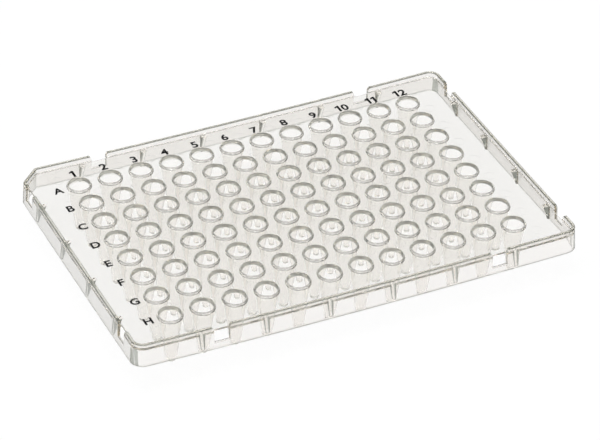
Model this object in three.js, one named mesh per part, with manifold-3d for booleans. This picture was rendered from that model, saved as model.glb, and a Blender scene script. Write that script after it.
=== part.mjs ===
// A 96-well, half-skirted plate for small reactions, moulded in one piece of clear polypropylene.
// Millimetres, +Z up. The origin is under the middle of the plate, in the plane of the 96 well tips,
// which the plate stands on. Columns 1 to 12 run along +X and rows A to H run along -Y.

import * as THREE from "three";
import { mergeVertices } from "three/addons/utils/BufferGeometryUtils.js";
import Module from "manifold-3d";

// ---- Driving dimensions ----

// The grid of wells.
const COLUMNS = 12;
const ROWS = 8;
const PITCH = 9;

// The outline at the foot of the skirt, where it is widest: how far it lies outside the centres of
// the outer wells, and its corners. The corner at A1 is cut off.
const END_MARGIN = 14.38;
const SIDE_MARGIN = 11.24;
const CORNER_RADIUS = 3.6;
const CORNER_CUT = 5.4;
const CORNER_CUT_RADIUS = 1.6;

// The wall round the edge, which leans in towards its top.
const WALL = 0.9;
const DRAFT_DEGREES = 3.5;

// The whole height from the well tips to the wall's top, how far the wall stands over the deck, the
// deck's thickness, and how far the skirt hangs under the deck's top.
const HEIGHT = 15.6;
const UPSTAND = 1.5;
const DECK = 0.5;
const SKIRT_DEPTH = 5.3;

// A well's inside: a tapered bore with a flat floor and a flared mouth.
const BORE_RADIUS = 2.75;
const BORE_FLOOR_RADIUS = 0.85;
const FLARE = 0.33;
const FLARE_DEPTH = 0.8;

// A well's walls round that: the tube under the deck, and the raised rim over it.
const TUBE_WALL = 0.4;
const TIP_WALL = 0.35;
const TIP_FLOOR = 0.42;
const RIM_HEIGHT = 0.65;
const RIM_WALL = 0.22;
const RIM_SPREAD = 0.1;

// Gussets between the skirt and the deck, in the gaps between every second pair of wells.
const GUSSET_THICKNESS = 1;
const GUSSET_REACH = 2;
const GUSSET_FOOT = 0.3;

// Notches through the wall, one near each end of each side. Each is placed from the outermost gusset
// there, towards the middle on the long sides and towards the corner on the short ones.
const NOTCH_WIDTH = 4.4;
const NOTCH_DEPTH = 3.3;
const NOTCH_LIP_RADIUS = 1.1;
const NOTCH_DECK_CUT = 0.35;
const NOTCH_FROM_GUSSET_LONG_SIDE = -5.2;
const NOTCH_FROM_GUSSET_SHORT_SIDE = 5.5;

// How finely round forms are divided.
const WELL_SIDES = 8;
const STEPS_PER_QUARTER_TURN = 4;
const LIP_STEPS = 3;

// ---- Sizes that follow ----

const CUT_THROUGH = 1;
const LEAST_RADIUS = 0.1;
const LENGTH = (COLUMNS - 1) * PITCH + 2 * END_MARGIN;
const WIDTH = (ROWS - 1) * PITCH + 2 * SIDE_MARGIN;
const DECK_TOP = HEIGHT - UPSTAND;
const DECK_UNDERSIDE = DECK_TOP - DECK;
const DECK_MIDDLE = DECK_TOP - DECK / 2;
const SKIRT_FOOT = DECK_TOP - SKIRT_DEPTH;
const RIM_TOP = DECK_TOP + RIM_HEIGHT;
const FLARE_FOOT = RIM_TOP - FLARE_DEPTH;
const NOTCH_FLOOR = DECK_TOP - NOTCH_DEPTH;
const MOUTH_RADIUS = BORE_RADIUS + FLARE;
const RIM_TOP_RADIUS = MOUTH_RADIUS + RIM_WALL;
const RIM_FOOT_RADIUS = RIM_TOP_RADIUS + RIM_SPREAD;
const TUBE_RADIUS = BORE_RADIUS + TUBE_WALL;
const TIP_RADIUS = BORE_FLOOR_RADIUS + TIP_WALL;
const LEAN = Math.tan(THREE.MathUtils.degToRad(DRAFT_DEGREES));

// How far the wall's outer face has leaned in at height z.
function leanAt(z) {
  return (z - SKIRT_FOOT) * LEAN;
}

// ---- Solids ----

const wasm = await Module();
wasm.setup();

// A closed three.js geometry as a solid that can be joined and cut.
function toSolid(geometry) {
  const bare = geometry.clone();
  bare.deleteAttribute("normal");
  bare.deleteAttribute("uv");
  const merged = mergeVertices(bare, 1e-5);
  return new wasm.Manifold(new wasm.Mesh({
    numProp: 3,
    vertProperties: new Float32Array(merged.attributes.position.array),
    triVerts: new Uint32Array(merged.index.array),
  }));
}

// A solid back as a three.js geometry, with flat facets.
function toGeometry(solid) {
  const mesh = solid.getMesh();
  const geometry = new THREE.BufferGeometry();
  geometry.setAttribute("position", new THREE.BufferAttribute(new Float32Array(mesh.vertProperties), 3));
  geometry.setIndex(new THREE.BufferAttribute(new Uint32Array(mesh.triVerts), 1));
  const faceted = geometry.toNonIndexed();
  faceted.computeVertexNormals();
  return faceted;
}

// ---- Frame: wall, skirt and deck ----

// The plate's outline, anticlockwise from H12, set in from the skirt's foot by the same distance all round.
// Each corner is an arc, and the cut at A1 is two, which meet the sides and the cut's straight edge.
function outline(inset) {
  const halfLength = LENGTH / 2 - inset;
  const halfWidth = WIDTH / 2 - inset;
  const cut = CORNER_CUT - inset * (2 - Math.SQRT2);
  const points = [];
  const turn = (sideX, setInX, sideY, setInY, radius, startAngle, angle) => {
    const steps = Math.round((STEPS_PER_QUARTER_TURN * angle) / (Math.PI / 2));
    for (let step = 0; step <= steps; step++) {
      const at = startAngle + (step / steps) * angle;
      points.push(new THREE.Vector2(
        sideX * (halfLength - setInX) + radius * Math.cos(at),
        sideY * (halfWidth - setInY) + radius * Math.sin(at),
      ));
    }
  };
  const round = Math.max(CORNER_RADIUS - inset, LEAST_RADIUS);
  const cutRound = Math.max(CORNER_CUT_RADIUS - inset, LEAST_RADIUS);
  const cutStart = cut + cutRound * Math.tan(Math.PI / 8);
  turn(1, round, -1, round, round, -Math.PI / 2, Math.PI / 2);
  turn(1, round, 1, round, round, 0, Math.PI / 2);
  turn(-1, cutStart, 1, cutRound, cutRound, Math.PI / 2, Math.PI / 4);
  turn(-1, cutRound, 1, cutStart, cutRound, (3 / 4) * Math.PI, Math.PI / 4);
  turn(-1, round, -1, round, round, Math.PI, Math.PI / 2);
  return points;
}

// A block that follows the outline and leans with the wall from one height to another.
function outlineBlock(bottom, top, inset) {
  const rings = [bottom, top].map((z) => ({ z, points: outline(leanAt(z) + inset) }));
  const count = rings[0].points.length;
  const positions = rings.flatMap(({ z, points }) => points.flatMap((point) => [point.x, point.y, z]));
  const indices = [];
  for (let i = 0; i < count; i++) {
    const next = (i + 1) % count;
    indices.push(i, next, count + next, i, count + next, count + i);
  }
  for (let i = 1; i < count - 1; i++) {
    indices.push(0, i + 1, i, count, count + i, count + i + 1);
  }
  const geometry = new THREE.BufferGeometry();
  geometry.setAttribute("position", new THREE.Float32BufferAttribute(positions, 3));
  geometry.setIndex(indices);
  return toSolid(geometry);
}

// The tray above the deck and the hollow inside the skirt are cut out of one leaning block.
function frame() {
  return outlineBlock(SKIRT_FOOT, HEIGHT, 0)
    .subtract(outlineBlock(DECK_TOP, HEIGHT + CUT_THROUGH, WALL))
    .subtract(outlineBlock(SKIRT_FOOT - CUT_THROUGH, DECK_UNDERSIDE, WALL));
}

// ---- Placing on the four sides ----

// Each side has its half-span across the plate, the quarter turns that face it, the wells along it,
// and how far its notches lie outside its outermost gussets.
// A feature is made for a side that faces +X, so its local X points out of the plate.
const LONG_SIDE = { halfSpan: WIDTH / 2, wells: COLUMNS, notchFromGusset: NOTCH_FROM_GUSSET_LONG_SIDE };
const SHORT_SIDE = { halfSpan: LENGTH / 2, wells: ROWS, notchFromGusset: NOTCH_FROM_GUSSET_SHORT_SIDE };
const SIDES = [
  { turn: 0, ...SHORT_SIDE },
  { turn: 1, ...LONG_SIDE },
  { turn: 2, ...SHORT_SIDE },
  { turn: 3, ...LONG_SIDE },
];

// Moves a geometry along its side, then turns it to face that side.
function onSide(geometry, side, along) {
  return geometry.clone().translate(0, along, 0).rotateZ(side.turn * Math.PI / 2);
}

// ---- Gussets ----

// A thin triangular web that runs down the inside of the skirt from the deck to the skirt's foot.
function gusset(side, along) {
  const wallInside = (z) => side.halfSpan - leanAt(z) - WALL;
  const shape = new THREE.Shape();
  shape.moveTo(wallInside(SKIRT_FOOT) - GUSSET_FOOT, SKIRT_FOOT);
  shape.lineTo(wallInside(SKIRT_FOOT) + WALL / 2, SKIRT_FOOT);
  shape.lineTo(wallInside(DECK_MIDDLE) + WALL / 2, DECK_MIDDLE);
  shape.lineTo(wallInside(DECK_MIDDLE) - GUSSET_REACH, DECK_MIDDLE);
  shape.lineTo(wallInside(DECK_UNDERSIDE) - GUSSET_REACH, DECK_UNDERSIDE);
  shape.closePath();
  const web = new THREE.ExtrudeGeometry(shape, { depth: GUSSET_THICKNESS, bevelEnabled: false });
  web.rotateX(Math.PI / 2).translate(0, GUSSET_THICKNESS / 2, 0);
  return toSolid(onSide(web, side, along));
}

// Gussets stand two pitches apart, each in a gap between wells.
function gussetPlaces(side) {
  const count = side.wells / 2;
  return Array.from({ length: count }, (_, i) => (i - (count - 1) / 2) * 2 * PITCH);
}

function gussets() {
  return SIDES.flatMap((side) => gussetPlaces(side).map((along) => gusset(side, along)));
}

// ---- Notches ----

// A slot open at the wall's top, with its two lips rounded over, extruded through the wall.
// It also takes a little of the deck's edge.
function notch(side, along) {
  const half = NOTCH_WIDTH / 2;
  const shoulder = HEIGHT - NOTCH_LIP_RADIUS;
  const shape = new THREE.Shape();
  shape.moveTo(-half, NOTCH_FLOOR);
  shape.lineTo(half, NOTCH_FLOOR);
  shape.lineTo(half, shoulder);
  shape.absarc(half + NOTCH_LIP_RADIUS, shoulder, NOTCH_LIP_RADIUS, Math.PI, Math.PI / 2, true);
  shape.lineTo(half + NOTCH_LIP_RADIUS, HEIGHT + CUT_THROUGH);
  shape.lineTo(-half - NOTCH_LIP_RADIUS, HEIGHT + CUT_THROUGH);
  shape.absarc(-half - NOTCH_LIP_RADIUS, shoulder, NOTCH_LIP_RADIUS, Math.PI / 2, 0, true);
  shape.closePath();
  const innerFace = side.halfSpan - leanAt(DECK_TOP) - WALL - NOTCH_DECK_CUT;
  const depth = side.halfSpan + CUT_THROUGH - innerFace;
  const slot = new THREE.ExtrudeGeometry(shape, { depth, bevelEnabled: false, curveSegments: LIP_STEPS });
  slot.rotateX(Math.PI / 2).rotateZ(Math.PI / 2).translate(innerFace, 0, 0);
  return toSolid(onSide(slot, side, along));
}

function notches() {
  return SIDES.flatMap((side) => {
    const offset = Math.max(...gussetPlaces(side)) + side.notchFromGusset;
    return [notch(side, -offset), notch(side, offset)];
  });
}

// ---- Wells ----

// A many-sided stand-in for a circle is drawn a little larger, so that it holds the circle's area.
const SIDE_ANGLE = (2 * Math.PI) / WELL_SIDES;
const EQUAL_AREA = Math.sqrt(SIDE_ANGLE / Math.sin(SIDE_ANGLE));

// A solid of revolution from [radius, height] pairs, listed upwards, closed on the axis at both ends.
function turned(profile) {
  const points = profile.map(([radius, z]) => new THREE.Vector2(radius * EQUAL_AREA, z));
  points.unshift(new THREE.Vector2(0, points[0].y));
  points.push(new THREE.Vector2(0, points[points.length - 1].y));
  const geometry = new THREE.LatheGeometry(points, WELL_SIDES, SIDE_ANGLE / 2);
  return toSolid(geometry.rotateX(Math.PI / 2));
}

// The outside: the tube from its tip to the middle of the deck, and the rim from there up.
function wellOutside() {
  return turned([
    [TIP_RADIUS, 0],
    [TUBE_RADIUS, DECK_UNDERSIDE],
    [TUBE_RADIUS, DECK_MIDDLE],
    [RIM_FOOT_RADIUS, DECK_MIDDLE],
    [RIM_FOOT_RADIUS, DECK_TOP],
    [RIM_TOP_RADIUS, RIM_TOP],
  ]);
}

// The inside: a flat floor, the long taper, and the flared mouth carried on past the rim.
function wellInside() {
  const flareSlope = (MOUTH_RADIUS - BORE_RADIUS) / FLARE_DEPTH;
  return turned([
    [BORE_FLOOR_RADIUS, TIP_FLOOR],
    [BORE_RADIUS, FLARE_FOOT],
    [MOUTH_RADIUS + flareSlope * CUT_THROUGH, RIM_TOP + CUT_THROUGH],
  ]);
}

// One solid at every place in the grid.
function atEveryWell(solid) {
  const copies = [];
  for (let column = 0; column < COLUMNS; column++) {
    for (let row = 0; row < ROWS; row++) {
      const x = (column - (COLUMNS - 1) / 2) * PITCH;
      const y = ((ROWS - 1) / 2 - row) * PITCH;
      copies.push(solid.translate([x, y, 0]));
    }
  }
  return copies;
}

// ---- The plate ----

function wellPlate() {
  let plate = frame();
  for (const slot of notches()) plate = plate.subtract(slot);
  for (const web of gussets()) plate = plate.add(web);
  for (const outside of atEveryWell(wellOutside())) plate = plate.add(outside);
  for (const inside of atEveryWell(wellInside())) plate = plate.subtract(inside);
  return plate;
}

const clearPolypropylene = new THREE.MeshStandardMaterial({
  color: 0xe9ebe6,
  roughness: 0.3,
  metalness: 0,
  transparent: true,
  opacity: 0.45,
});

const plateMesh = new THREE.Mesh(toGeometry(wellPlate()), clearPolypropylene);
plateMesh.name = "plate";

const object = new THREE.Group();
object.add(plateMesh);

export default object;
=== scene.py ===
"""A 96-well plate in clear polypropylene, standing on a white table."""

import bmesh
import bpy
import numpy as np
from mathutils import Matrix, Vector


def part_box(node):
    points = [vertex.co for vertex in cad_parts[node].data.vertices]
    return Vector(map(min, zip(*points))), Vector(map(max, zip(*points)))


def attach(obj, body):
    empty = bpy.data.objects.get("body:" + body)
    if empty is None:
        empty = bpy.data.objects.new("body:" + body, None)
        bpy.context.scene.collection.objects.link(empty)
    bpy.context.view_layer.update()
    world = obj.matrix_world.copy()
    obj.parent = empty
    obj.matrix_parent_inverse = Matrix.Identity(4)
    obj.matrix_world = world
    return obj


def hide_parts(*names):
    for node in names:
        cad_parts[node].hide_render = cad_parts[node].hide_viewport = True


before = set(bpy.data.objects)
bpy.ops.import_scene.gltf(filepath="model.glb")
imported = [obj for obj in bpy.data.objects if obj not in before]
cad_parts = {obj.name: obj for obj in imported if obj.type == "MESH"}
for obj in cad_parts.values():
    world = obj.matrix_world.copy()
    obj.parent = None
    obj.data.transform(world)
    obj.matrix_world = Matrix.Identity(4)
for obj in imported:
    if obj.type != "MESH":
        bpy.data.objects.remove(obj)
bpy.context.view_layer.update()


# ---- Wall, skirt and deck ----
# The frame of the plate: a drafted wall round the edge, the skirt under it, and the thin deck
# between. It is clear polypropylene, in one injection moulding with the notches, gussets and
# wells. The mould rounds its edges over and leaves a small fillet where the deck meets the wall.

MM = 0.001
far_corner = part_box("plate")[1]
half_length = far_corner.x / MM
half_width = far_corner.y / MM
wall_top = far_corner.z / MM
skirt_foot = 8.8
deck_top = 14.1
deck_underside = 13.6
wall = 0.9
draft_degrees = 3.5
lean = np.tan(np.radians(draft_degrees))
edge_radius = 0.3
deck_fillet = 0.25
corner_radius = 3.6
corner_cut = 5.4
corner_cut_radius = 1.6
steps_per_half_turn = 20
pitch = 9.0
columns = 12
rows = 8


def lean_at(z):
    """How far the drafted wall has leaned in at a height: (height - foot) * tan(draft)."""
    return (z - skirt_foot) * lean


def outline(inset):
    """The plate's outline, anticlockwise from H12, set in from the skirt's foot all round.

    Each corner is an arc: centre + radius * (cos angle, sin angle). The cut corner at A1 is two
    eighth turns, which meet the sides and the cut's straight edge. Setting in moves each side by
    the inset and takes it off each radius.
    """
    length = half_length - inset
    width = half_width - inset
    radius = corner_radius - inset
    cut_radius = corner_cut_radius - inset
    cut = corner_cut - inset * (2 - np.sqrt(2)) + cut_radius * np.tan(np.pi / 8)
    arcs = [
        (length - radius, radius - width, radius, -0.5, 0.5),
        (length - radius, width - radius, radius, 0, 0.5),
        (cut - length, width - cut_radius, cut_radius, 0.5, 0.25),
        (cut_radius - length, width - cut, cut_radius, 0.75, 0.25),
        (radius - length, radius - width, radius, 1, 0.5),
    ]
    points = []
    for x, y, r, start, turn in arcs:
        steps = round(steps_per_half_turn * turn)
        angle = np.pi * np.linspace(start, start + turn, steps + 1)
        points.append(np.stack([x + r * np.cos(angle), y + r * np.sin(angle)], axis=1))
    return np.concatenate(points)


def ring_at(inset, z):
    """The outline at one inset, as a level ring of points at one height."""
    plan = outline(inset)
    return np.c_[plan, np.full(len(plan), z)]


def arc(across, height, radius, start, end, steps):
    """Part of a section: centre + radius * (cos angle, sin angle), angles in quarter turns."""
    angle = np.pi / 2 * np.linspace(start, end, steps + 1)
    return np.stack([across + radius * np.cos(angle), height + radius * np.sin(angle)], axis=1)


def carried(rings):
    """A closed surface through rings of points, one after another, with a cap at each end.

    Corner (ring, place) joins its neighbours (ring, place + 1) and (ring + 1, place); the place
    wraps round.
    """
    rings = np.asarray(rings, float)
    count, around = rings.shape[:2]
    ring, place = np.meshgrid(np.arange(count - 1), np.arange(around), indexing="ij")
    following = (place + 1) % around
    corners = [
        ring * around + place,
        ring * around + following,
        (ring + 1) * around + following,
        (ring + 1) * around + place,
    ]
    faces = np.stack(corners, axis=-1).reshape(-1, 4).tolist()
    faces.append(list(range(around))[::-1])
    faces.append(list(range((count - 1) * around, count * around)))
    return rings.reshape(-1, 3), faces


def mesh_piece(name, vertices, faces):
    """A mesh object whose place is in its vertices, given in millimetres."""
    mesh = bpy.data.meshes.new(name)
    mesh.from_pydata((np.asarray(vertices) * MM).tolist(), [], faces)
    mesh.update()
    piece = bpy.data.objects.new(name, mesh)
    bpy.context.scene.collection.objects.link(piece)
    return piece


# the wall's section, as (inset from the foot's outline, height) pairs: from the deck's underside
# down round the skirt's foot, up the outside, over the top and down to the deck
under_inset = wall + lean_at(deck_underside) + deck_fillet
over_inset = wall + lean_at(deck_top) + deck_fillet
top_inset = lean_at(wall_top)
foot_centre = skirt_foot + edge_radius
top_centre = wall_top - edge_radius
section = np.concatenate([
    [[under_inset, deck_underside]],
    arc(under_inset, deck_underside - deck_fillet, deck_fillet, 1, 2, 4)[1:],
    arc(wall - edge_radius, foot_centre, edge_radius, 0, -1, 3),
    arc(edge_radius, foot_centre, edge_radius, -1, -2, 3),
    arc(top_inset + edge_radius, top_centre, edge_radius, 2, 1, 4),
    arc(top_inset + wall - edge_radius, top_centre, edge_radius, 1, 0, 4),
    arc(over_inset, deck_top + deck_fillet, deck_fillet, 2, 3, 4),
])
plate = mesh_piece("plate_moulding", *carried([ring_at(inset, z) for inset, z in section]))

# seams halfway between the wells, so that the long flat faces can follow the plate's bow
seamed = bmesh.new()
seamed.from_mesh(plate.data)
for axis, count in ((0, columns), (1, rows)):
    for line in (np.arange(count + 1) - count / 2) * pitch:
        point = [0, 0, 0]
        normal = [0, 0, 0]
        point[axis] = line * MM
        normal[axis] = 1
        everything = seamed.verts[:] + seamed.edges[:] + seamed.faces[:]
        bmesh.ops.bisect_plane(seamed, geom=everything, plane_co=point, plane_no=normal)
seamed.to_mesh(plate.data)
seamed.free()


# ---- Notches ----
# Slots through the polypropylene wall near both ends of each side, open at the top. The mould
# forms them, with rounded lips, and they take a little off the deck's edge.

notch_width = 4.4
notch_floor = 10.8
notch_lip = 1.1
notch_deck_cut = 0.35
notch_long_side = 39.8
notch_short_side = 32.5
through = 1.0

# for each side: its half-span, the quarter turns that face it, its notches' place, its wells
sides = [
    (half_length, 0, notch_short_side, rows),
    (half_width, 1, notch_long_side, columns),
    (half_length, 2, notch_short_side, rows),
    (half_width, 3, notch_long_side, columns),
]


def turned_to(points, quarters):
    """Points given for a side that faces +X, turned about Z to face another side."""
    c, s = [(1, 0), (0, 1), (-1, 0), (0, -1)][quarters]
    return points @ np.array([[c, s, 0], [-s, c, 0], [0, 0, 1]])


def joined(parts):
    """One set of vertices and faces from several."""
    vertices = []
    faces = []
    start = 0
    for part_vertices, part_faces in parts:
        vertices.append(part_vertices)
        faces += [[i + start for i in face] for face in part_faces]
        start += len(part_vertices)
    return np.concatenate(vertices), faces


def combine(piece, tool, operation):
    """Cuts the tool out of the piece, or adds it, and removes the tool."""
    modifier = piece.modifiers.new(operation, "BOOLEAN")
    modifier.object = tool
    modifier.operation = operation
    modifier.solver = "MANIFOLD"
    depsgraph = bpy.context.evaluated_depsgraph_get()
    mesh = bpy.data.meshes.new_from_object(piece.evaluated_get(depsgraph))
    piece.modifiers.clear()
    piece.data = mesh
    bpy.data.objects.remove(tool)


half_notch = notch_width / 2
slot = np.concatenate([
    [[-half_notch - notch_lip, wall_top + through]],
    arc(-half_notch - notch_lip, wall_top - notch_lip, notch_lip, 1, 0, 5),
    [[-half_notch, notch_floor], [half_notch, notch_floor]],
    arc(half_notch + notch_lip, wall_top - notch_lip, notch_lip, 2, 1, 5),
    [[half_notch + notch_lip, wall_top + through]],
])
slots = []
for span, quarters, notch_place, _ in sides:
    inner = span - lean_at(deck_top) - wall - notch_deck_cut
    for along in (-notch_place, notch_place):
        rings = [
            np.c_[np.full(len(slot), x), slot[:, 0] + along, slot[:, 1]]
            for x in (inner, span + through)
        ]
        vertices, faces = carried(rings)
        slots.append((turned_to(vertices, quarters), faces))
combine(plate, mesh_piece("slots", *joined(slots)), "DIFFERENCE")


# ---- Gussets ----
# Thin polypropylene webs that brace the skirt against the deck from inside, in every second gap
# between the wells. They are moulded with the plate, so each thins towards its foot to leave the
# mould, and its free edge is rounded.

gusset_top = 1.45
gusset_bottom = 1.1
gusset_reach = 2.0
gusset_foot = 0.55
into_wall = 0.4
web_foot = skirt_foot + 0.35
slope_lift = 0.02
# rings from one face of a web to the other, whose free edge swings through nearly a half turn
edge_turn = 0.98
edge_rings = 7

deck_middle = (deck_top + deck_underside) / 2
slope = gusset_reach + lean_at(deck_underside) - gusset_foot
rise = (deck_middle - skirt_foot - slope_lift) / (deck_underside - skirt_foot - slope_lift)
free_edge = np.array([1, 0, 0, 1])
webs = []
for span, quarters, _, wells in sides:
    web = np.array([
        [span - wall - gusset_foot, web_foot],
        [span - wall + into_wall, web_foot],
        [span - lean_at(deck_middle) - wall + into_wall, deck_middle],
        [span - wall - gusset_foot - slope * rise, deck_middle],
    ])
    share = (web[:, 1] - skirt_foot) / (deck_middle - skirt_foot)
    thick = gusset_bottom + (gusset_top - gusset_bottom) * share
    count = wells // 2
    for along in (np.arange(count) - (count - 1) / 2) * 2 * pitch:
        rings = [
            np.c_[
                web[:, 0] + free_edge * thick / 2 * (1 - np.cos(turn)),
                along - thick / 2 * np.sin(turn),
                web[:, 1],
            ]
            for turn in np.pi / 2 * np.linspace(-edge_turn, edge_turn, edge_rings)
        ]
        vertices, faces = carried(rings)
        webs.append((turned_to(vertices, quarters), faces))
combine(plate, mesh_piece("webs", *joined(webs)), "UNION")


# ---- Wells ----
# Ninety-six tapered polypropylene tubes with flat tips hang from the deck, each with a raised
# rim round a flared mouth. They are moulded with the plate, and core pins make their insides.

around_well = 24
tip_flat = 0.85
tip_round = 0.36
tip_centre = 1.0
taper_start_radius = 1.42
taper_start = 1.0
tube_radius = 3.15
tube_fillet = 0.4
fillet_overlap = 0.02
rim_height = 0.65
rim_top = deck_top + rim_height
rim_radius = 3.3
rim_foot = 3.4
rim_fillet = 0.12
rim_round = 0.1
# two places inside the deck's thickness, as (radius, height), a little wider than the fillets
root_low = [rim_foot + 0.16, deck_underside + 0.2]
root_high = [rim_foot + 0.13, deck_top - 0.02]
floor_radius = 0.3
floor_height = 0.42
floor_round = 0.5
floor_centre = 0.92
# where the core pin's taper changes, as (radius, height)
core_low = [2.54, 10.3]
core_high = [2.62, 13.3]
flare_foot_radius = 2.86
flare_depth = 0.36
mouth_radius = 3.08
mouth_opening = mouth_radius + 0.13
mouth_centre = rim_top - 0.12
mouth_round = 0.11
well_x = (np.arange(columns) - (columns - 1) / 2) * pitch
well_y = ((rows - 1) / 2 - np.arange(rows)) * pitch


def turned_form(profile, places_x, places_y):
    """A (radius, height) profile turned about an upright axis, one copy at every place.

    Each point becomes a ring: (radius * cos angle, radius * sin angle, height) + the place.
    """
    profile = np.asarray(profile, float)
    angle = 2 * np.pi * np.arange(around_well) / around_well
    radius = profile[:, :1]
    z = profile[:, 1:]
    rings = np.stack(
        np.broadcast_arrays(radius * np.cos(angle), radius * np.sin(angle), z), axis=-1
    )
    vertices, faces = carried(rings)
    x, y = np.meshgrid(places_x, places_y, indexing="ij")
    return joined([(vertices + [px, py, 0], faces) for px, py in zip(x.ravel(), y.ravel())])


# up the outside: flat tip, tapered tube, fillet under the deck, and the rim's outer face
tube_outside = np.concatenate([
    [[tip_flat, 0.0]],
    arc(tip_centre, tip_round, tip_round, -1, -0.12, 4)[1:],
    [[taper_start_radius, taper_start]],
    arc(
        tube_radius + tube_fillet - fillet_overlap, deck_underside - tube_fillet, tube_fillet,
        2, 1, 4,
    ),
    [root_low],
    [root_high],
    arc(rim_foot + rim_fillet, deck_top + rim_fillet, rim_fillet, -1, -2, 3)[1:],
    arc(rim_radius - rim_round, rim_top - rim_round, rim_round, 0.04, 1, 3),
])
# and up the inside: round floor, long taper, a slighter one above it, and the flared mouth
well_inside = np.concatenate([
    [[floor_radius, floor_height]],
    arc(floor_round, floor_centre, floor_round, -0.95, -0.1, 5),
    [core_low],
    [core_high],
    [[flare_foot_radius, rim_top - flare_depth]],
    arc(mouth_opening, mouth_centre, mouth_round, 1.6, 1.1, 3),
    [[mouth_opening, rim_top + through]],
])
combine(plate, mesh_piece("tubes", *turned_form(tube_outside, well_x, well_y)), "UNION")


# ---- Ring marks ----
# Faint rings in the top of the polypropylene deck, midway between the wells, such as a mould's
# ejector pins leave. Each is a shallow groove. The wells are opened once they are cut.

mark_radius = 1.65
mark_depth = 0.03
mark_width = 0.2
mark_inside = 0.2
mark_clear = deck_top + 0.2
above_deck = deck_top + 0.01
groove = [
    [mark_inside, above_deck],
    [mark_radius - mark_width / 2, above_deck],
    [mark_radius, deck_top - mark_depth],
    [mark_radius + mark_width / 2, above_deck],
    [mark_radius + mark_width / 2, mark_clear],
    [mark_inside, mark_clear],
]
mark_x = (np.arange(columns + 1) - columns / 2) * pitch
mark_y = (np.arange(rows + 1) - rows / 2) * pitch
combine(plate, mesh_piece("marks", *turned_form(groove, mark_x, mark_y)), "DIFFERENCE")
combine(plate, mesh_piece("bores", *turned_form(well_inside, well_x, well_y)), "DIFFERENCE")


# ---- The whole moulding ----
# The plate as it leaves the mould: one piece of clear polypropylene, a little bowed from cooling,
# and slightly warm where light goes a long way through it. The tints on its wall, edges, gussets,
# rims and mouths, and its darkening edge-on, are no dye: they are painted shade, standing in for
# the dark things that a real room shows in clear plastic.

bow_lift = 0.57
bow_along = 0.31
bow_across = 0.52
bow_twist = 0.1
bow_corners = 0.4
crease_degrees = 40


def bow(x, y):
    """How far the plate stands above flat, in millimetres, as it comes from the mould.

    The middle is highest: lift - along x^2 - across y^2 + twist x y + corners x^2 y^2, with x
    and y as shares of the way from the middle to the outermost wells.
    """
    x = x / (pitch * (columns - 1) / 2)
    y = y / (pitch * (rows - 1) / 2)
    arch = bow_lift - bow_along * x**2 - bow_across * y**2
    return arch + bow_twist * x * y + bow_corners * x**2 * y**2


def bowed(mesh):
    """Raises each vertex by the bow there, and keeps its unbent height as the attribute level."""
    places = np.zeros(len(mesh.vertices) * 3)
    mesh.vertices.foreach_get("co", places)
    places = places.reshape(-1, 3)
    unbent = mesh.attributes.new("level", "FLOAT", "POINT")
    unbent.data.foreach_set("value", places[:, 2] / MM)
    places[:, 2] += bow(places[:, 0] / MM, places[:, 1] / MM) * MM
    mesh.vertices.foreach_set("co", places.ravel())
    mesh.update()


# smooth over rounded forms, crisp where a flat face ends
bowed(plate.data)
plate.data.shade_smooth()
plate.data.set_sharp_from_angle(angle=np.radians(crease_degrees))
even_shading = plate.modifiers.new("even shading", "WEIGHTED_NORMAL")
even_shading.mode = "FACE_AREA"
even_shading.weight = 50
even_shading.keep_sharp = True

# the fine unevenness that every surface here has, each in its own strength
grain = bpy.data.node_groups.new("fine_grain", "ShaderNodeTree")
grain.interface.new_socket("Place", in_out="INPUT", socket_type="NodeSocketVector")
grain.interface.new_socket("Grains per metre", in_out="INPUT", socket_type="NodeSocketFloat")
grain.interface.new_socket("Depth", in_out="INPUT", socket_type="NodeSocketFloat")
grain.interface.new_socket("Grain", in_out="OUTPUT", socket_type="NodeSocketFloat")
grain.interface.new_socket("Normal", in_out="OUTPUT", socket_type="NodeSocketVector")
given = grain.nodes.new("NodeGroupInput")
result = grain.nodes.new("NodeGroupOutput")
cloud = grain.nodes.new("ShaderNodeTexNoise")
cloud.inputs["Detail"].default_value = 3.0
relief = grain.nodes.new("ShaderNodeBump")
relief.inputs["Strength"].default_value = 1.0
grain.links.new(given.outputs["Place"], cloud.inputs["Vector"])
grain.links.new(given.outputs["Grains per metre"], cloud.inputs["Scale"])
grain.links.new(given.outputs["Depth"], relief.inputs["Distance"])
grain.links.new(cloud.outputs["Fac"], relief.inputs["Height"])
grain.links.new(cloud.outputs["Fac"], result.inputs["Grain"])
grain.links.new(relief.outputs["Normal"], result.inputs["Normal"])


def grained(material, per_metre, depth, smoothest, roughest):
    """Puts the fine grain into a material, and gives the socket with the roughness it makes.

    The roughness goes from smoothest to roughest as the grain goes from 0.3 to 0.7, where
    nearly all of it lies.
    """
    tree = material.node_tree
    place = tree.nodes.new("ShaderNodeTexCoord")
    grains = tree.nodes.new("ShaderNodeGroup")
    grains.node_tree = grain
    grains.inputs["Grains per metre"].default_value = per_metre
    grains.inputs["Depth"].default_value = depth
    tree.links.new(place.outputs["Object"], grains.inputs["Place"])
    tree.links.new(grains.outputs["Normal"], tree.nodes["Principled BSDF"].inputs["Normal"])
    spread = tree.nodes.new("ShaderNodeMapRange")
    spread.inputs["From Min"].default_value = 0.3
    spread.inputs["From Max"].default_value = 0.7
    spread.inputs["To Min"].default_value = smoothest
    spread.inputs["To Max"].default_value = roughest
    tree.links.new(grains.outputs["Grain"], spread.inputs["Value"])
    return spread.outputs["Result"]


def arithmetic(tree, operation, one, other):
    """One step of arithmetic on two masks; either may be a socket or a plain number."""
    node = tree.nodes.new("ShaderNodeMath")
    node.operation = operation
    for socket, value in zip(node.inputs, (one, other)):
        if isinstance(value, float):
            socket.default_value = value
        else:
            tree.links.new(value, socket)
    return node.outputs["Value"]


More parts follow.
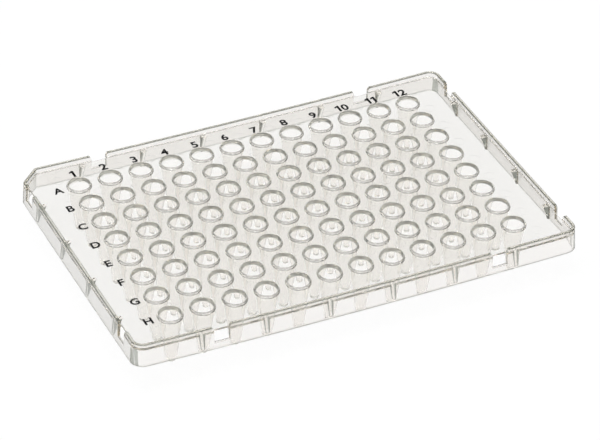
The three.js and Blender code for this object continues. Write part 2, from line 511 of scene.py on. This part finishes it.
clear = bpy.data.materials.new("clear_polypropylene")
clear.use_nodes = True
clear_tree = clear.node_tree
nodes = clear_tree.nodes
links = clear_tree.links
shader = nodes["Principled BSDF"]
shader.inputs["IOR"].default_value = 1.49
shader.inputs["Transmission Weight"].default_value = 0.975


def product(one, other):
    """The mask that is 1 where both masks are."""
    return arithmetic(clear_tree, "MULTIPLY", one, other)


def either(one, other):
    """The mask that is 1 where one mask or the other is."""
    return arithmetic(clear_tree, "MAXIMUM", one, other)


def between(value, low, high):
    """A mask that rises smoothly from 0 to 1 as the value goes from low to high."""
    node = nodes.new("ShaderNodeMapRange")
    node.interpolation_type = "SMOOTHSTEP"
    node.inputs["From Min"].default_value = low
    node.inputs["From Max"].default_value = high
    links.new(value, node.inputs["Value"])
    return node.outputs["Result"]


def vector_step(operation, vector, constant=(0, 0, 0)):
    """One step of vector arithmetic."""
    node = nodes.new("ShaderNodeVectorMath")
    node.operation = operation
    links.new(vector, node.inputs[0])
    node.inputs[1].default_value = constant
    return node


def from_cell_middle(vector, size):
    """Where each point is from the middle of its own square cell, across the plate.

    X and Y are wrapped into 0 to size, and half the size is taken off them.
    """
    cell = vector_step("WRAP", vector, (size, size, 1))
    cell.inputs[2].default_value = (0, 0, -1)
    middle = (size / 2, size / 2, 0)
    return vector_step("SUBTRACT", cell.outputs["Vector"], middle).outputs["Vector"]


def distances_from_middle(vector):
    """The distances along X and along Y, both without their sign, as sockets."""
    node = nodes.new("ShaderNodeSeparateXYZ")
    links.new(vector_step("ABSOLUTE", vector).outputs["Vector"], node.inputs["Vector"])
    return node.outputs


def blend(mask, under, over):
    """The colour under, or over where the mask is 1; under may be a link or a colour."""
    node = nodes.new("ShaderNodeMix")
    node.data_type = "RGBA"
    links.new(mask, node.inputs["Factor"])
    node.inputs["B"].default_value = over
    if isinstance(under, tuple):
        node.inputs["A"].default_value = under
    else:
        links.new(under, node.inputs["A"])
    return node.outputs["Result"]


where = nodes.new("ShaderNodeTexCoord")
level_attribute = nodes.new("ShaderNodeAttribute")
level_attribute.attribute_name = "level"
level = level_attribute.outputs["Fac"]
to_millimetres = (1 / MM, 1 / MM, 0)
plan_place = vector_step("MULTIPLY", where.outputs["Object"], to_millimetres).outputs["Vector"]
out = distances_from_middle(plan_place)

# where the wells' grid is, and where the wall is beyond it; each mask's two bounds are where it
# starts and where it is whole, in millimetres
grid_length = columns / 2 * pitch
grid_width = rows / 2 * pitch
grid_fade = 0.1
wall_zone_start = 2.0
wall_zone_whole = 1.8
in_grid = product(
    between(out["X"], grid_length + grid_fade, grid_length),
    between(out["Y"], grid_width + grid_fade, grid_width),
)
near_wall = either(
    between(out["X"], half_length - wall_zone_start, half_length - wall_zone_whole),
    between(out["Y"], half_width - wall_zone_start, half_width - wall_zone_whole),
)

# where shade is painted: the flared mouths, the tops of the rims, and the wall's rounded edges and
# flat top; the flares and rounded edges are also dulled
flare_radii = (3.2, 3.14)
flare_levels = (13.6, 13.9)
lip_levels = (rim_top - 0.2, rim_top - 0.06)
wall_edge_levels = (wall_top - 0.42, wall_top - 0.16)
flat_start = wall_top - 0.03
flat_whole = wall_top - 0.002
from_axis = vector_step("LENGTH", from_cell_middle(plan_place, pitch)).outputs["Value"]
on_flare = product(
    product(in_grid, between(from_axis, *flare_radii)),
    between(level, *flare_levels),
)
on_lip = product(in_grid, between(level, *lip_levels))
on_wall_edge = product(
    between(level, *wall_edge_levels),
    between(level, flat_whole, flat_start),
)
on_wall_top = between(level, flat_start, flat_whole)

# the gussets' sides, where shade is painted: beside each web's middle plane, inside the wall and
# below the deck
web_core = (0.2, 0.45)
web_outside = (0.9, 0.8)
web_free_end = (3.6, 3.5)
web_wall_end = (1.1, 1.25)
web_levels = (deck_underside, deck_underside - 0.05)
from_web = distances_from_middle(from_cell_middle(plan_place, 2 * pitch))
web_sides = []
for across, inward, reach_out in (("X", "Y", half_width), ("Y", "X", half_length)):
    beside_web = product(
        between(from_web[across], *web_core),
        between(from_web[across], *web_outside),
    )
    inside_wall = product(
        between(out[inward], reach_out - web_free_end[0], reach_out - web_free_end[1]),
        between(out[inward], reach_out - web_wall_end[0], reach_out - web_wall_end[1]),
    )
    web_sides.append(product(beside_web, inside_wall))
on_web = product(either(*web_sides), between(level, *web_levels))

# the deck's tint is the plastic's own faint warmth; every tint after it is painted shade
deck_tint = (0.988, 0.979, 0.966, 1)
wall_painted_shade = (0.945, 0.932, 0.922, 1)
flare_painted_shade = (0.985, 1.0, 0.985, 1)
lip_painted_shade = (0.97, 0.99, 0.94, 1)
web_painted_shade = (0.24, 0.26, 0.23, 1)
wall_top_painted_shade = (0.84, 0.85, 0.80, 1)
wall_edge_painted_shade = (0.15, 0.16, 0.135, 1)
colour_with_painted_shade = blend(near_wall, deck_tint, wall_painted_shade)
colour_with_painted_shade = blend(on_flare, colour_with_painted_shade, flare_painted_shade)
colour_with_painted_shade = blend(on_lip, colour_with_painted_shade, lip_painted_shade)
colour_with_painted_shade = blend(on_web, colour_with_painted_shade, web_painted_shade)
colour_with_painted_shade = blend(on_wall_top, colour_with_painted_shade, wall_top_painted_shade)
colour_with_painted_shade = blend(on_wall_edge, colour_with_painted_shade, wall_edge_painted_shade)

# painted shade: seen edge-on, the plastic is painted darker, all of it beyond the wells' grid and
# a tenth within
edge_on_painted_shade = (0.10, 0.12, 0.10, 1)
edge_on_facing = (0.45, 1.0)
edge_on_levels = (skirt_foot + 0.1, skirt_foot + 0.7)
share_in_grid = 0.1
facing = nodes.new("ShaderNodeLayerWeight")
facing.inputs["Blend"].default_value = 0.5
edge_on_share = nodes.new("ShaderNodeMapRange")
edge_on_share.inputs["To Min"].default_value = 1.0
edge_on_share.inputs["To Max"].default_value = share_in_grid
links.new(in_grid, edge_on_share.inputs["Value"])
edge_on_shade = product(
    between(facing.outputs["Facing"], *edge_on_facing), edge_on_share.outputs["Result"]
)
edge_on_shade = product(edge_on_shade, between(level, *edge_on_levels))
links.new(blend(edge_on_shade, colour_with_painted_shade, edge_on_painted_shade), shader.inputs["Base Color"])

# dull on the flares, the wall's rounded edges and the skirt's foot, and glossy elsewhere
dull_roughness = 0.35
foot_levels = (skirt_foot + 0.6, skirt_foot + 0.2)
off_grid = arithmetic(clear_tree, "SUBTRACT", 1.0, in_grid)
on_foot = product(off_grid, between(level, *foot_levels))
gloss = nodes.new("ShaderNodeMapRange")
gloss.inputs["To Max"].default_value = dull_roughness
links.new(grained(clear, 700, 0.003 * MM, 0.02, 0.08), gloss.inputs["To Min"])
links.new(either(either(on_flare, on_wall_edge), on_foot), gloss.inputs["Value"])
links.new(gloss.outputs["Result"], shader.inputs["Roughness"])

# the warmth that clear plastic takes on where light goes a long way through it
warmth = nodes.new("ShaderNodeVolumeAbsorption")
warmth.inputs["Color"].default_value = (0.94, 0.74, 0.34, 1)
warmth.inputs["Density"].default_value = 24
links.new(warmth.outputs["Volume"], nodes["Material Output"].inputs["Volume"])

plate.data.materials.clear()
plate.data.materials.append(clear)
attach(plate, "root")
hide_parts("plate")


# ---- Lettering ----
# Row letters A to H down the left margin and column numbers 1 to 12 along the back. They are flat
# black ink, pad-printed on the deck after moulding.

letter_height = 2.75
letter_x = -55.6
letter_drop = 0.1
number_height = 3.05
number_y = 37.4
number_shift = 0.3
ink_lift = 0.012
character_gap = 0.13
thickening = 0.03
figure_one = np.array([
    [0.0, 0.0], [0.23, 0.0], [0.23, 1.0], [0.06, 1.0], [-0.22, 0.84], [-0.22, 0.63], [0.0, 0.74],
])
# the typeface's own filling leaves a few faces of no area at all, in units of its size squared
smallest_face = 1e-7


def printed(text, x, y, height):
    """A row or column name as flat ink, centred on a place on the deck.

    Each character is scaled to the height and set beside the one before it. A one is a straight
    stem with a flag; the others are the plain typeface, a little thickened.
    """
    shapes = []
    edge_x = 0.0
    for character in text:
        if character == "1":
            flat = np.c_[figure_one, np.zeros(len(figure_one))]
            faces = [list(range(len(figure_one)))]
        else:
            curve = bpy.data.curves.new("character", "FONT")
            curve.body = character
            curve.size = 1.0
            curve.offset = thickening
            curve.resolution_u = 6
            sign = bpy.data.objects.new("character", curve)
            bpy.context.scene.collection.objects.link(sign)
            depsgraph = bpy.context.evaluated_depsgraph_get()
            sheet = bpy.data.meshes.new_from_object(sign.evaluated_get(depsgraph))
            flat = np.zeros(len(sheet.vertices) * 3)
            sheet.vertices.foreach_get("co", flat)
            flat = flat.reshape(-1, 3)
            faces = [list(p.vertices) for p in sheet.polygons if p.area > smallest_face]
            bpy.data.objects.remove(sign)
        low = flat.min(0)
        high = flat.max(0)
        flat = (flat - low) * height / (high - low)[1]
        flat[:, 0] += edge_x
        edge_x = flat[:, 0].max() + character_gap * height
        shapes.append((flat, faces))
    vertices, faces = joined(shapes)
    vertices -= (vertices.max(0) + vertices.min(0)) / 2
    vertices[:, 2] = 0
    return vertices + [x, y, deck_top + ink_lift], faces


characters = [
    printed(letter, letter_x, y - letter_drop, letter_height)
    for letter, y in zip("ABCDEFGH", well_y)
]
characters += [
    printed(str(column + 1), x + number_shift, number_y, number_height)
    for column, x in enumerate(well_x)
]
lettering = mesh_piece("printed_grid_marks", *joined(characters))
bowed(lettering.data)

ink = bpy.data.materials.new("black_print")
ink.use_nodes = True
ink_shader = ink.node_tree.nodes["Principled BSDF"]
ink_shader.inputs["Base Color"].default_value = (0.004, 0.004, 0.0045, 1)
ink_shader.inputs["Specular IOR Level"].default_value = 0.1
ink_roughness = grained(ink, 6000, 0.01 * MM, 0.5, 0.75)
ink.node_tree.links.new(ink_roughness, ink_shader.inputs["Roughness"])
lettering.data.materials.append(ink)
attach(lettering, "root")


# ---- Table ----
# A plain, matt white table top of painted board under the plate. Seen directly, in a gloss or
# through clear plastic, it is all but pure white and keeps only a trace of the plate's shadow.

table_reach = 6.0
table_white = 0.95
glowing_share = 0.95
table_mesh = bpy.data.meshes.new("table")
table_corners = [
    (-table_reach, -table_reach, 0),
    (table_reach, -table_reach, 0),
    (table_reach, table_reach, 0),
    (-table_reach, table_reach, 0),
]
table_mesh.from_pydata(table_corners, [], [(0, 1, 2, 3)])
table = bpy.data.objects.new("table", table_mesh)
bpy.context.scene.collection.objects.link(table)

white = bpy.data.materials.new("white_table")
white.use_nodes = True
white_tree = white.node_tree
surface = white_tree.nodes["Principled BSDF"]
surface.inputs["Base Color"].default_value = (table_white, table_white, table_white, 1)
table_roughness = grained(white, 900, 0.02 * MM, 0.8, 0.95)
white_tree.links.new(table_roughness, surface.inputs["Roughness"])
glow = white_tree.nodes.new("ShaderNodeEmission")
glow.inputs["Color"].default_value = (1, 1, 1, 1)
glow.inputs["Strength"].default_value = 1.0
path = white_tree.nodes.new("ShaderNodeLightPath").outputs
seen = arithmetic(white_tree, "MAXIMUM", path["Is Camera Ray"], path["Is Glossy Ray"])
seen = arithmetic(white_tree, "MAXIMUM", seen, path["Is Transmission Ray"])
seen_share = arithmetic(white_tree, "MULTIPLY", seen, glowing_share)
mix = white_tree.nodes.new("ShaderNodeMixShader")
white_tree.links.new(seen_share, mix.inputs["Fac"])
white_tree.links.new(surface.outputs["BSDF"], mix.inputs[1])
white_tree.links.new(glow.outputs["Emission"], mix.inputs[2])
white_tree.links.new(
    mix.outputs["Shader"], white_tree.nodes["Material Output"].inputs["Surface"]
)
table_mesh.materials.append(white)


# ---- Light ----
# A dim, even studio round the plate, and one large square softbox above it, a little to the front
# left. Light crosses many thin clear walls before it comes out, so it may bounce many times.

world = bpy.data.worlds.new("studio")
bpy.context.scene.world = world
world.use_nodes = True
studio = world.node_tree.nodes["Background"]
studio.inputs["Color"].default_value = (0.95, 1.0, 0.94, 1)
studio.inputs["Strength"].default_value = 0.36

softbox_side = 1.2
softbox = bpy.data.lights.new("softbox", "AREA")
softbox.shape = "RECTANGLE"
softbox.size = softbox_side
softbox.size_y = softbox_side
softbox.energy = 24
lamp = bpy.data.objects.new("softbox", softbox)
lamp.location = (-0.3, -0.3, 1.4)
lamp.rotation_euler = (-lamp.location).to_track_quat("-Z", "Y").to_euler()
bpy.context.scene.collection.objects.link(lamp)

bpy.context.scene.view_settings.view_transform = "Standard"
bpy.context.scene.cycles.max_bounces = 128
bpy.context.scene.cycles.transmission_bounces = 128
bpy.context.scene.cycles.transparent_max_bounces = 32
bpy.context.scene.cycles.diffuse_bounces = 8
bpy.context.scene.cycles.glossy_bounces = 64


# ---- Camera ----
# A long lens, well back, that looks down on the plate from the front left and is tipped by about
# one degree.

azimuth, elevation, roll = np.radians([-25.451, 35.699, 1.022])
distance = 811.8
aim = np.array([-1.714, -7.033, 14.31])
sensor_width = 36
focal_length = 183.114

back = np.array([
    np.sin(azimuth) * np.cos(elevation),
    -np.cos(azimuth) * np.cos(elevation),
    np.sin(elevation),
])
level_right = np.cross([0, 0, 1], back)
level_right /= np.linalg.norm(level_right)
level_up = np.cross(back, level_right)
right = np.cos(roll) * level_right + np.sin(roll) * level_up
up = np.cos(roll) * level_up - np.sin(roll) * level_right
stand = (aim + distance * back) * MM
camera_data = bpy.data.cameras.new("camera")
camera_data.sensor_width = sensor_width
camera_data.lens = focal_length
camera_data.clip_start = 0.05
camera_data.clip_end = 50
camera = bpy.data.objects.new("camera", camera_data)
bpy.context.scene.collection.objects.link(camera)
camera.matrix_world = Matrix([
    (right[0], up[0], back[0], stand[0]),
    (right[1], up[1], back[1], stand[1]),
    (right[2], up[2], back[2], stand[2]),
    (0, 0, 0, 1),
])
bpy.context.scene.camera = camera
